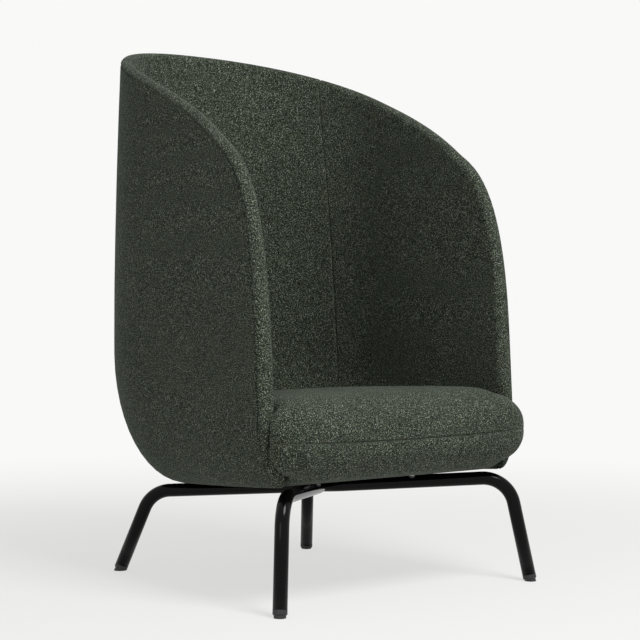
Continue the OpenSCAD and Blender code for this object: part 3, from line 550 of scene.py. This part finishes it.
def panel(line, stops, slack=0.0, lean=None):
    """A sheet on the shell: a grid with one column for each station and one row for each stop."""
    bm = bmesh.new()
    columns, rows = len(line) - 1, len(stops) - 1
    bmesh.ops.create_grid(bm, x_segments=columns, y_segments=rows, size=1)
    for v in bm.verts:
        k, shift, sink = line[round((v.co.x + 1) / 2 * columns)]
        zone, value, inside, cut = stops[round((v.co.y + 1) / 2 * rows)]
        if lean:
            k += lean(k, zone, value)
        cut = max(cut, sink)
        if slack:
            place = sheet_point(k, zone, value, inside, cut)
            cut += slack * (0.5 + 0.5 * noise.noise(place / SLACK_PERIOD))
        v.co = sheet_point(k, zone, value, inside, cut)
        if shift:
            way = sheet_point(k + math.copysign(SHIFT_PROBE, shift), zone, value, inside, cut) - v.co
            v.co += way.normalized() * abs(shift)
    bmesh.ops.remove_doubles(bm, verts=bm.verts, dist=MERGE)
    zone, value, inside, cut = stops[rows // 3]
    middle = station(line[columns // 2][0]).point(zone, value, inside, cut)
    probe = min(bm.faces, key=lambda face: (face.calc_center_median() - middle).length)
    outward = Vector((middle.x, middle.y - CURVE_Y, 0)) * (-1 if inside else 1)
    bm.normal_update()
    if probe.normal.dot(outward) < 0:
        bmesh.ops.reverse_faces(bm, faces=bm.faces)
    return bm


FILLING = station_line(1 - STATIONS, STATIONS - 1)
PANELS = [
    ("outer_cover_left", station_line(-STATIONS, 0, tail=folded(0, -1)[::-1]), COVER_STOPS),
    ("outer_cover_right", station_line(0, STATIONS, folded(0, 1)), COVER_STOPS),
    ("inner_lining_left", station_line(-STATIONS, -SIDE_SEAM, turned_under(-STATIONS)[::-1],
                                       folded(-SIDE_SEAM, -1)[::-1]), LINING_STOPS),
    ("inner_lining_back", station_line(-SIDE_SEAM, SIDE_SEAM, folded(-SIDE_SEAM, 1),
                                       folded(SIDE_SEAM, -1)[::-1]), LINING_STOPS),
    ("inner_lining_right", station_line(SIDE_SEAM, STATIONS, folded(SIDE_SEAM, 1), turned_under(STATIONS)),
     LINING_STOPS),
]
for name, line, stops in PANELS:
    lean = seam_lean if stops is LINING_STOPS else None
    cloth = new_piece(name + "_cloth", panel(line, stops, SLACK, lean), FELT, "green_wool_felt", name)
    thicken(cloth, COVER_T - SLACK)

core_mesh = panel(FILLING, up_wall("fan", FILLING_ROWS, False, CORE_OUTER, SHEET_LAST))
core = new_piece("core_moulding", core_mesh, PLYWOOD, "plywood", "shell_core")
thicken(core, CORE_T)
outer_mesh = panel(FILLING, up_wall("bowl", FILLING_ROWS, False, LINING_BACK, SHEET_LAST))
outer_pad = new_piece("outer_foam_sheet", outer_mesh, FOAM, "foam", "outer_foam")
thicken(outer_pad, OUTER_FOAM_T)

inner_mesh = panel(FILLING, INNER_FOAM_STOPS)
bmesh.ops.holes_fill(inner_mesh, edges=[edge for edge in inner_mesh.edges if edge.is_boundary], sides=0)
inner_pad = new_piece("inner_foam_body", inner_mesh, FOAM, "foam", "inner_foam")


# ---------------------------------------------------------------- seat cushion

VOXEL = 5 * MM
SWELL_FRAMES = 20
SWELL_PRESSURE = 4.0
SWELL_CAP = 3 * MM
FLAT_BOTTOM = 46 * MM
SMOOTH_PASSES = 6


def height(p):
    """Height above the tilted underside."""
    return p.z - under_z(p.y)


def swell(piece):
    """Lets air pressure round the cushion, and keeps each point near where it was and the bottom flat."""
    start = [v.co.copy() for v in piece.data.vertices]
    cloth = piece.modifiers.new("swell", "CLOTH").settings
    cloth.use_pressure = True
    cloth.uniform_pressure_force = SWELL_PRESSURE
    cloth.effector_weights.gravity = 0
    cloth.quality = 4
    scene = bpy.context.scene
    scene.frame_end = SWELL_FRAMES
    for step in range(1, SWELL_FRAMES + 1):
        scene.frame_set(step)
    settle(piece)
    scene.frame_set(1)
    for v, first in zip(piece.data.vertices, start):
        move = v.co - first
        held = clamp((height(first) - FLAT_BOTTOM) / (2 * SWELL_CAP), 0, 1) if first.y > FRONT_Y else 1
        v.co = first + move * held * min(1, SWELL_CAP / max(move.length, SWELL_CAP / 10))


# Sizes of the cushion and its front roll. Heights are above the tilted underside.
CUSHION_TOP = 188 * MM
CUSHION_FLOOR = WALL_T + 0.5 * MM
CROWN_H = 12 * MM
CROWN_SPINE = 0.28
ROLL_TOP_D = 118 * MM
ROLL_LOW_D = 93 * MM
ROLL_HALF_W = HALF_W - 5 * MM
END_TOP_W = 72 * MM
END_LOW_W = 63 * MM
END_CORNER_W = 78 * MM
END_CORNER_D = 56 * MM
CORNER_POWER = 2.3
SEAM_LAND = 0.1
SEAT_EDGE_R = 12 * MM
CUSHION_GAP = 4 * MM
EDGE_GAP = 0.5 * MM
ARM_LEAST = 6 * MM
STEP_Y = FRONT_Y + RIM_ZONE - EDGE_GAP
NECK_X = HALF_W - FRONT_ROUND.x - CUSHION_GAP - FLANGE / 4
BLEND_SHARE = 0.3
CORNER_END = math.radians(72)
FRONT_COLUMNS, CORNER_COLUMNS, SIDE_COLUMNS, BACK_COLUMNS = 10, 24, 10, 20
HALF_COLUMNS = FRONT_COLUMNS + CORNER_COLUMNS + SIDE_COLUMNS + BACK_COLUMNS + 2
CROWN_ROWS, TOP_ROWS, FLANK_ROWS, NECK_ROWS = 12, 22, 9, 12
# Shares down the roll's lower half: end of the sides, the floor, and the neck's first and second loop
FLANK_END, FLOOR_SHARE, NECK_FIRST, NECK_SECOND = 0.46, 0.5, 0.56, 0.6
FORM_MERGE = 0.02 * MM
# The cushion starts this much smaller, and swells back
START_SMALLER = 1.5 * MM


def edge_line():
    """Front edge of the lining, as (height, place along the depth)."""
    line = []
    for place in (rim_at(q / 96)[0] for q in range(25)):
        rise = place.y - EDGE_FOOT.y
        line.append((rise + WALL_T * max(1 - rise / FRONT_ROUND.y, 0), place.x - EDGE_GAP))
    return line


EDGE_LINE = edge_line()


def edge_y(w):
    """Place of the lining's front edge at a height."""
    for (low, first), (high, last) in zip(EDGE_LINE, EDGE_LINE[1:]):
        if w <= high:
            return mix(first, last, clamp((w - low) / (high - low), 0, 1))
    return EDGE_LINE[-1][1]


def fullness(s):
    """Share of the roll's full depth at s, level beside the seam and none at its top and bottom."""
    return math.sqrt(max(1 - (max(abs(s) - SEAM_LAND, 0) / (1 - SEAM_LAND)) ** 2, 0))


def bowl_point(angle, w, clear):
    """Place inside the bowl of the shell at a height, clear of the lining."""
    place, out = plan(angle)
    size = rounding(place.y)
    inset = WALL_T
    if w <= CUSHION_FLOOR:
        inset = size.x
    elif w < size.y:
        turn = math.acos(clamp((size.y - w) / (size.y - WALL_T), 0, 1))
        inset = size.x - (size.x - WALL_T) * math.sin(turn)
    return place - out * (inset + CUSHION_GAP + clear)


def round_corner(start, end, turn):
    """A point of a rounded corner between two places."""
    power = 2 / CORNER_POWER
    return Vector((mix(start.x, end.x, math.sin(turn) ** power),
                   mix(end.y, start.y, math.cos(turn) ** power)))


def cushion_half(s, w, necked, lift=0.0):
    """Right half of one loop round the cushion. s goes from 1 at the roll's top to -1 at its bottom."""
    small = START_SMALLER
    roll_d, end_w, tall = (ROLL_TOP_D, END_TOP_W, CUSHION_TOP - SEAM_LEVEL) if s > 0 else (
        ROLL_LOW_D, END_LOW_W, SEAM_LEVEL)
    thin = 1 - fullness(s)
    front_w = SEAM_LEVEL + s * (tall - small)
    y0 = CUSHION_FRONT_Y + roll_d * thin + small
    x1 = ROLL_HALF_W - end_w * thin - small
    notch_y = edge_y(front_w) - small
    edge = small + (SEAT_EDGE_R * thin if s > 0 else 0)
    stop = math.acos(clamp((y0 + END_CORNER_D - notch_y) / END_CORNER_D, 0, 1) ** (CORNER_POWER / 2))
    corner_foot, corner_end = Vector((x1 - END_CORNER_W, y0)), Vector((x1, y0 + END_CORNER_D))

    def side_x(y, clear):
        return NECK_X - clear if necked else bowl_point(plan_angle(y), w, clear).x

    armed = (round_corner(corner_foot, corner_end, stop).x > side_x(notch_y, small) + ARM_LEAST
             and y0 < notch_y - ARM_LEAST)
    blend_y = max(mix(y0, STEP_Y - small, BLEND_SHARE) if necked else y0 + END_CORNER_D, notch_y)
    side_y = notch_y if armed else blend_y
    inner_x = side_x(side_y, edge)
    x0 = corner_foot.x if armed else min(corner_foot.x, inner_x - END_CORNER_W / 2)
    loop = [(share * x0, y0, front_w) for share in spread(0, 1, FRONT_COLUMNS)]
    for share in spread(0, 1, CORNER_COLUMNS)[1:]:
        q = (round_corner(corner_foot, corner_end, share * stop) if armed
             else round_corner(Vector((x0, y0)), Vector((inner_x, blend_y)), share * CORNER_END))
        loop.append((q.x, q.y, front_w))
    loop.append((inner_x, side_y, front_w if necked else w + lift))
    if necked:
        loop += [(inner_x * (1 - share), STEP_Y - small, w + lift)
                 for share in spread(0, 1, SIDE_COLUMNS + BACK_COLUMNS)]
    else:
        for y in spread(side_y, CURVE_Y, SIDE_COLUMNS)[1:]:
            loop.append((bowl_point(plan_angle(y), w, edge).x, y, w + lift))
        for angle in spread(90, 0, BACK_COLUMNS):
            q = bowl_point(angle, w, edge)
            loop.append((q.x, q.y, w + lift))
    return loop


def crown_half(t):
    """Right half of a loop on the seat, drawn in to its middle line at t = 1."""
    edge = cushion_half(1, CUSHION_TOP - START_SMALLER, False)
    front, back = mix(FRONT_Y, BACK_Y, CROWN_SPINE), mix(BACK_Y, FRONT_Y, CROWN_SPINE)
    return [(x * (1 - t), mix(y, mix(front, back, i / (HALF_COLUMNS - 1)), t), w + CROWN_H * t * (2 - t))
            for i, (x, y, w) in enumerate(edge)]


def cushion_form():
    """The whole cushion as a grid bent round it, from the middle of the seat to the bottom of the roll."""
    loops = [crown_half(t) for t in spread(1, 0, CROWN_ROWS)[:-1]]
    loops += [cushion_half(s, mix(SEAM_LEVEL, CUSHION_TOP - START_SMALLER, s), False)
              for s in spread(1, 0, TOP_ROWS)]
    loops += [cushion_half(-s, (1 - s) * SEAM_LEVEL, False) for s in spread(0, FLANK_END, FLANK_ROWS)[1:]]
    loops += [cushion_half(-FLOOR_SHARE, CUSHION_FLOOR, False, START_SMALLER),
              cushion_half(-NECK_FIRST, CUSHION_FLOOR, True)]
    loops += [cushion_half(-s, (1 - s) * SEAM_LEVEL, True) for s in spread(NECK_SECOND, 1, NECK_ROWS)]
    around, rows = 2 * (HALF_COLUMNS - 1), len(loops) - 1
    bm = bmesh.new()
    bmesh.ops.create_grid(bm, x_segments=around, y_segments=rows, size=1)
    for v in bm.verts:
        i = round((v.co.x + 1) / 2 * around) % around
        loop = loops[round((v.co.y + 1) / 2 * rows)]
        x, y, w = loop[min(i, around - i)]
        v.co = (x if i < HALF_COLUMNS else -x, y, w + under_z(y))
    bmesh.ops.remove_doubles(bm, verts=bm.verts, dist=FORM_MERGE)
    bmesh.ops.holes_fill(bm, edges=[edge for edge in bm.edges if edge.is_boundary], sides=0)
    bmesh.ops.recalc_face_normals(bm, faces=bm.faces)
    return bm


cushion = new_piece("cushion_foam_block", cushion_form(), FOAM, "foam", "cushion_foam")
fine = cushion.modifiers.new("fine", "REMESH")
fine.mode = "VOXEL"
fine.voxel_size = VOXEL
settle(cushion)
swell(cushion)
smoothed = bmesh.new()
smoothed.from_mesh(cushion.data)
for _ in range(SMOOTH_PASSES):
    bmesh.ops.smooth_vert(smoothed, verts=smoothed.verts, factor=0.5, use_axis_x=True, use_axis_y=True,
                          use_axis_z=True)
SEAM_NORMAL = Vector((0, SLOPE, 1)).normalized()
SEAM_PLACE = Vector((0, MIDDLE_Y, UNDER_H + SEAM_LEVEL))
PINCH_W = 20 * MM
PINCH_D = 1.2 * MM
PUCKER_PERIOD = 30 * MM
SEAM_SAG = 10 * MM
SAG_HALF_W = 420 * MM
SEAM_FADE_W = 110 * MM


def sag(p):
    """How far the seam hangs down at the middle of the front roll."""
    front = clamp((FRONT_Y - p.y) / RIM_R, 0, 1)
    return SEAM_SAG * max(1 - (p.x / SAG_HALF_W) ** 2, 0) * front


def seam_distance(p):
    """How far a point of the cushion is from its seam."""
    return abs((p - SEAM_PLACE).dot(SEAM_NORMAL) + sag(p))


def seam_fade(p):
    """The seam lies flatter at the ends of the roll."""
    return clamp((HALF_W - abs(p.x)) / SEAM_FADE_W, 0.2, 1)


def seam_pull(p):
    """How deep the seam pulls the cover in at a point, with small puckers along it."""
    near = max(1 - seam_distance(p) / PINCH_W, 0)
    return PINCH_D * seam_fade(p) * near ** 2 * (1 + 0.6 * noise.noise(p / PUCKER_PERIOD))


def cushion_skin(name, side, node):
    """Half of the cushion's cover, above or below the seam."""
    bm = smoothed.copy()
    for v in bm.verts:
        v.co.z += sag(v.co)
    for d in FOLD_STOPS:
        bmesh.ops.bisect_plane(bm, geom=[*bm.verts, *bm.edges, *bm.faces], dist=MERGE,
                               plane_co=SEAM_PLACE + SEAM_NORMAL * side * (HALF_SEAM + d),
                               plane_no=SEAM_NORMAL * side, clear_inner=d == 0)
    for v in bm.verts:
        v.co.z -= sag(v.co)
    bm.normal_update()
    folds = [seam_fade(v.co) * fold_sink(max(seam_distance(v.co) - HALF_SEAM, 0)) for v in bm.verts]
    moves = [v.normal * (seam_pull(v.co) + fold) for v, fold in zip(bm.verts, folds)]
    for v, move in zip(bm.verts, moves):
        v.co -= move
    skin = new_piece(name, bm, FELT, "green_wool_felt", node)
    thicken(skin, COVER_T)


cushion_skin("cushion_top_cloth", 1, "cushion_cover_top")
cushion_skin("cushion_low_cloth", -1, "cushion_cover_low")

# The foam lies under the cover, and clear of the folded edges at the seam
smoothed.normal_update()
hollow = [v.normal * (LINING_BACK + seam_pull(v.co) + (FOLD_D if seam_distance(v.co) < 2 * VOXEL else 0))
          for v in smoothed.verts]
for v, move in zip(smoothed.verts, hollow):
    v.co -= move
for face in smoothed.faces:
    face.smooth = True
smoothed.to_mesh(cushion.data)
smoothed.free()


# ---------------------------------------------------------------- frame

TUBE_R = 15 * MM
BEND_R = 70 * MM
ARM_LEVEL = -(2.7 * MM + TUBE_R)
GLIDE_H = 16 * MM
WELD_GAP = 0.3 * MM
BEND_STEPS = 20
TUBE_SIDES = 40


def down_slope(y):
    """Place along the depth, measured down the tilted underside from its middle."""
    return (y - MIDDLE_Y) / math.cos(SEAT_TILT)


def in_arm_plane(p):
    """A point of the arms' plane in the chair's frame."""
    return Vector((p.x, MIDDLE_Y + p.y * math.cos(SEAT_TILT) + ARM_LEVEL * math.sin(SEAT_TILT),
                   UNDER_H - p.y * math.sin(SEAT_TILT) + ARM_LEVEL * math.cos(SEAT_TILT)))


FRONT_KNEE = Vector((322 * MM, down_slope(FRONT_FOOT.y + 37.7 * MM)))
REAR_KNEE = Vector((232 * MM, down_slope(REAR_FOOT.y - 61 * MM)))
BEND_MIDDLE = Vector((BEND_R + TUBE_R + WELD_GAP / 2, 0))


def touch(knee, hand):
    """Point where an arm from a knee meets the middle bend."""
    way = BEND_MIDDLE - knee
    swing = math.asin(BEND_R / way.length) * hand
    along = way.normalized()
    along = Vector((along.x * math.cos(swing) - along.y * math.sin(swing),
                    along.x * math.sin(swing) + along.y * math.cos(swing)))
    return knee + along * math.sqrt(way.length ** 2 - BEND_R ** 2)


def tube_path():
    """Corners of the tube: front foot, front knee, middle, rear knee, rear foot."""
    middle = (touch(FRONT_KNEE, 1) + touch(REAR_KNEE, -1)) / 2 - BEND_MIDDLE
    apex = BEND_MIDDLE + middle * (BEND_R / middle.length) ** 2
    knees = [in_arm_plane(p) for p in (FRONT_KNEE, apex, REAR_KNEE)]
    start = FRONT_FOOT + (knees[0] - FRONT_FOOT).normalized() * GLIDE_H
    end = REAR_FOOT + (knees[2] - REAR_FOOT).normalized() * GLIDE_H
    return [start, *knees, end]


def push_ring(bm, edges):
    """Extrudes the open end of a tube, and gives its new points and edges."""
    made = bmesh.ops.extrude_edge_only(bm, edges=edges)["geom"]
    return ([item for item in made if isinstance(item, bmesh.types.BMVert)],
            [item for item in made if isinstance(item, bmesh.types.BMEdge) and len(item.link_faces) == 1])


def in_point_order(bm):
    """Puts the faces in the order of their points, as an extrusion's own order changes from run to run."""
    bm.verts.index_update()
    count = len(bm.verts)

    def number(face):
        points = [v.index for v in face.verts]
        return min(points) * count + max(points)

    bm.faces.sort(key=number)


def bent_tube(name, side, node):
    """A tube pushed along its path: straight runs are extruded and bends are turned."""
    path = [Vector((side * p.x, p.y, p.z)) for p in tube_path()]
    here = path[0]
    way = (path[1] - here).normalized()
    bm = bmesh.new()
    place = Matrix.Translation(here) @ way.to_track_quat("Z", "Y").to_matrix().to_4x4()
    bmesh.ops.create_circle(bm, radius=TUBE_R, segments=TUBE_SIDES, matrix=place)
    edges = list(bm.edges)
    last = len(path) - 1
    for i in range(1, last + 1):
        turn = way.angle(path[i + 1] - path[i]) if i < last else 0
        cut = BEND_R * math.tan(turn / 2)
        stop = path[i] - way * cut
        verts, edges = push_ring(bm, edges)
        bmesh.ops.translate(bm, verts=verts, vec=stop - here)
        if i < last:
            ahead = (path[i + 1] - path[i]).normalized()
            axis = way.cross(ahead).normalized()
            turned = Matrix.Rotation(turn / BEND_STEPS, 3, axis)
            for _ in range(BEND_STEPS):
                verts, edges = push_ring(bm, edges)
                bmesh.ops.rotate(bm, verts=verts, cent=stop + axis.cross(way) * BEND_R, matrix=turned)
            here = path[i] + ahead * cut
            way = ahead
    bmesh.ops.holes_fill(bm, edges=[edge for edge in bm.edges if edge.is_boundary], sides=0)
    bmesh.ops.recalc_face_normals(bm, faces=bm.faces)
    in_point_order(bm)
    tube = new_piece(name, bm, LACQUER, "black_lacquer", node)
    for face in tube.data.polygons:
        face.use_smooth = len(face.vertices) == 4


bent_tube("left_bent_tube", -1, "frame_tube_left")
bent_tube("right_bent_tube", 1, "frame_tube_right")

DRESSED = {
    "centre_plate": LACQUER, "mounting_plate": LACQUER, "glide": GLIDE, "frame_bolts": STEEL,
    "lock_washers": ZINC, "t_nuts": ZINC, "clamp": ZINC, "seat_board": PLYWOOD, "dust_cover": LINING_CLOTH,
    "seat_base_foam": FOAM,
}
for node_name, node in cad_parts.items():
    for start, material in DRESSED.items():
        if node_name.startswith(start):
            for used in node.material_slots:
                used.material = material


# ---------------------------------------------------------------- studio

# Floor, with the distances between which it fades, and how much of it is background under the chair
FLOOR_SIZE = 40.0
FADE_START = 0.5
FADE_END = 3.2
GLOW_NEAR = 0.68


def studio_paper():
    """Pale paper floor that is lit evenly, and fades into the white background away from the chair."""
    material, tree, shader = new_material("studio_paper", Base_Color=paint("#e4e3e1"), Roughness=0.9)
    where = add_node(tree, "ShaderNodeTexCoord").outputs["Object"]
    far = add_node(tree, "ShaderNodeVectorMath", [(0, where)], operation="LENGTH").outputs["Value"]
    share = add_node(tree, "ShaderNodeMapRange",
                     [("Value", far), ("From Min", FADE_START), ("From Max", FADE_END),
                      ("To Min", GLOW_NEAR), ("To Max", 1.0)],
                     interpolation_type="SMOOTHSTEP").outputs["Result"]
    glow = add_node(tree, "ShaderNodeEmission", [("Color", BACKGROUND), ("Strength", 1.0)])
    glowing = add_node(tree, "ShaderNodeMath", [(0, share), (1, background_rays(tree))], operation="MULTIPLY")
    mixed = add_node(tree, "ShaderNodeMixShader", [(0, glowing.outputs[0]), (1, shader.outputs[0]),
                                                   (2, glow.outputs[0])])
    tree.links.new(mixed.outputs[0], tree.nodes["Material Output"].inputs["Surface"])
    return material


PAPER = studio_paper()

floor_mesh = bpy.data.meshes.new("studio_floor")
flat = bmesh.new()
bmesh.ops.create_grid(flat, x_segments=1, y_segments=1, size=FLOOR_SIZE / 2)
flat.to_mesh(floor_mesh)
flat.free()
floor_mesh.materials.append(PAPER)
studio_floor = bpy.data.objects.new("studio_floor", floor_mesh)
bpy.context.scene.collection.objects.link(studio_floor)


def softbox(name, place, target, size, power):
    """A round soft lamp that faces a target."""
    light = bpy.data.lights.new(name, "AREA")
    light.shape = "DISK"
    light.size = size
    light.energy = power
    lamp = bpy.data.objects.new(name, light)
    lamp.location = place
    lamp.rotation_mode = "QUATERNION"
    lamp.rotation_quaternion = (Vector(target) - Vector(place)).to_track_quat("-Z", "Y")
    bpy.context.scene.collection.objects.link(lamp)


softbox("key_softbox", place=(-0.1, -2.4, 3.3), target=(0, -0.1, 0.6), size=1.6, power=118)
softbox("left_fill", place=(-3.4, -1.9, 1.2), target=(0, 0, 0.6), size=1.4, power=12)

# Light of the room, and the background that the camera sees
SKY_LIGHT = 0.26
world = bpy.data.worlds.new("studio")
bpy.context.scene.world = world
world.use_nodes = True
sky = world.node_tree
sky.nodes.clear()
lit = add_node(sky, "ShaderNodeBackground", [("Color", WHITE), ("Strength", SKY_LIGHT)])
seen = add_node(sky, "ShaderNodeBackground", [("Color", BACKGROUND), ("Strength", 1.0)])
both = add_node(sky, "ShaderNodeMixShader", [(0, background_rays(sky)), (1, lit.outputs[0]),
                                             (2, seen.outputs[0])])
add_node(sky, "ShaderNodeOutputWorld", [("Surface", both.outputs[0])])

# Camera as the photograph was taken: lens and sensor in millimetres, place in metres
SENSOR_W = 36
LENS = 97.67
CAMERA_PLACE = (-2.478, -3.091, 0.640)
YAW = math.radians(39.57)
PITCH = math.radians(-0.845)
ROLL = math.radians(0.15)
camera_data = bpy.data.cameras.new("camera")
camera_data.sensor_width = SENSOR_W
camera_data.lens = LENS
camera = bpy.data.objects.new("camera", camera_data)
camera.location = CAMERA_PLACE
ahead = Vector((math.sin(YAW) * math.cos(PITCH), math.cos(YAW) * math.cos(PITCH), math.sin(PITCH)))
right = Vector((math.cos(YAW), -math.sin(YAW), 0))
up = right.cross(ahead)
turned_right = right * math.cos(ROLL) + up * math.sin(ROLL)
turned_up = up * math.cos(ROLL) - right * math.sin(ROLL)
camera.rotation_mode = "QUATERNION"
camera.rotation_quaternion = Matrix((turned_right, turned_up, -ahead)).transposed().to_quaternion()
bpy.context.scene.collection.objects.link(camera)
bpy.context.scene.camera = camera
bpy.context.scene.view_settings.view_transform = "Standard"
